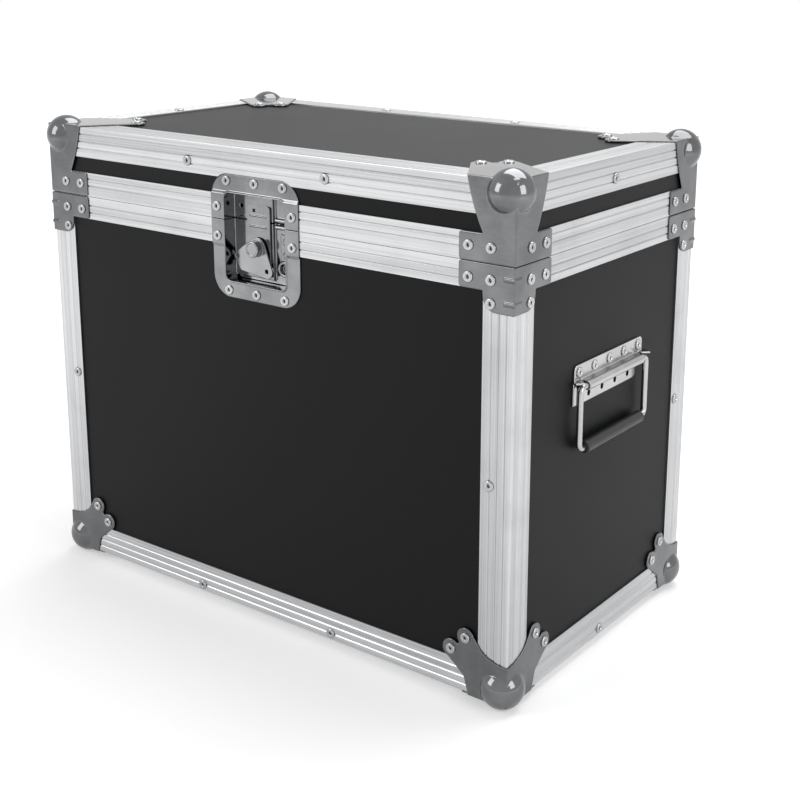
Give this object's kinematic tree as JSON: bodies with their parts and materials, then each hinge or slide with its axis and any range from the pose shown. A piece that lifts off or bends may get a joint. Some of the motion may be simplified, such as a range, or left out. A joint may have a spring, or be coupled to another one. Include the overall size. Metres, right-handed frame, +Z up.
{
  "type": "lighting flight case",
  "caption": "Black panelled flight case with ribbed aluminium edges, steel ball corners, a recessed butterfly latch, a hinged lid and folding end handles.",
  "frame": {"origin": "on the ground under the middle of the case, at the height of the flats on the four ball feet", "axes": "+X to the right along the long side, +Y towards the hinges at the back, +Z up; the latch faces -Y"},
  "size_m": [0.5552, 0.32, 0.45],
  "materials": {
    "black_laminate": "black grained laminate on plywood",
    "edge_aluminium": "satin anodised, ribbed along its length",
    "plated_corner": "bright nickel plate",
    "rivet_metal": "bright pop rivets",
    "foam": "dark open foam",
    "latch_plate": "bright nickel plate",
    "grip_rubber": "black, slightly shiny",
    "handle_steel": "bright nickel plate",
    "hinge_steel": "bright zinc plate"
  },
  "bodies": {
    "base": {"base_panel_front": "black_laminate", "base_panel_back": "black_laminate", "base_panel_left": "black_laminate", "base_panel_right": "black_laminate", "base_panel_bottom": "black_laminate", "corner_angle_front_left": "edge_aluminium", "corner_angle_front_right": "edge_aluminium", "corner_angle_back_left": "edge_aluminium", "corner_angle_back_right": "edge_aluminium", "bottom_angle_front": "edge_aluminium", "bottom_angle_right": "edge_aluminium", "bottom_angle_back": "edge_aluminium", "bottom_angle_left": "edge_aluminium", "base_rim_front": "edge_aluminium", "base_rim_right": "edge_aluminium", "base_rim_back": "edge_aluminium", "base_rim_left": "edge_aluminium", "corner_brace_front_left": "plated_corner", "corner_brace_front_right": "plated_corner", "corner_brace_back_left": "plated_corner", "corner_brace_back_right": "plated_corner", "bottom_ball_corner_front_left": "plated_corner", "bottom_ball_corner_front_right": "plated_corner", "bottom_ball_corner_back_left": "plated_corner", "bottom_ball_corner_back_right": "plated_corner", "base_rivets": "rivet_metal", "base_foam_lining": "foam", "latch_dish_base": "latch_plate", "handle_strap_left": "handle_steel", "handle_strap_right": "handle_steel", "hinge_base_leaves": "hinge_steel", "hinge_pins": "hinge_steel"},
    "lid": {"lid_panel_top": "black_laminate", "lid_panel_front": "black_laminate", "lid_panel_back": "black_laminate", "lid_panel_left": "black_laminate", "lid_panel_right": "black_laminate", "top_angle_front": "edge_aluminium", "top_angle_right": "edge_aluminium", "top_angle_back": "edge_aluminium", "top_angle_left": "edge_aluminium", "lid_rim_front": "edge_aluminium", "lid_rim_right": "edge_aluminium", "lid_rim_back": "edge_aluminium", "lid_rim_left": "edge_aluminium", "lid_ball_corner_front_left": "plated_corner", "lid_ball_corner_front_right": "plated_corner", "lid_ball_corner_back_left": "plated_corner", "lid_ball_corner_back_right": "plated_corner", "lid_rivets": "rivet_metal", "lid_foam_lining": "foam", "latch_dish_lid": "latch_plate", "hinge_lid_leaves": "hinge_steel"},
    "latch_key": {"latch_key": "latch_plate"},
    "latch_draw_plate": {"latch_draw_plate": "latch_plate"},
    "handle_right": {"handle_bail_right": "handle_steel", "handle_grip_right": "grip_rubber"},
    "handle_left": {"handle_bail_left": "handle_steel", "handle_grip_left": "grip_rubber"}
  },
  "joints": [
    {"name": "lid_hinge", "type": "hinge", "parent": "base", "child": "lid", "pos_m": [0, 0.1552, 0.3762], "axis": [-1, 0, 0], "range_deg": [0, 105]},
    {"name": "latch_key_turn", "type": "hinge", "parent": "base", "child": "latch_key", "pos_m": [-0.0057, -0.14, 0.3527], "axis": [0, 1, 0], "range_deg": [0, 180]},
    {"name": "latch_draw_slide", "type": "slide", "parent": "base", "child": "latch_draw_plate", "axis": [0, 0, 1], "range_m": [0, 0.006]},
    {"name": "handle_right_swing", "type": "hinge", "parent": "base", "child": "handle_right", "pos_m": [0.2721, 0.001, 0.257], "axis": [0, -1, 0], "range_deg": [0, 90]},
    {"name": "handle_left_swing", "type": "hinge", "parent": "base", "child": "handle_left", "pos_m": [-0.2721, 0.001, 0.257], "axis": [0, 1, 0], "range_deg": [0, 90]}
  ],
  "couplings": [
    {"joint": "latch_draw_slide", "follows": "latch_key_turn", "m_per_rad": 0.0019}
  ]
}
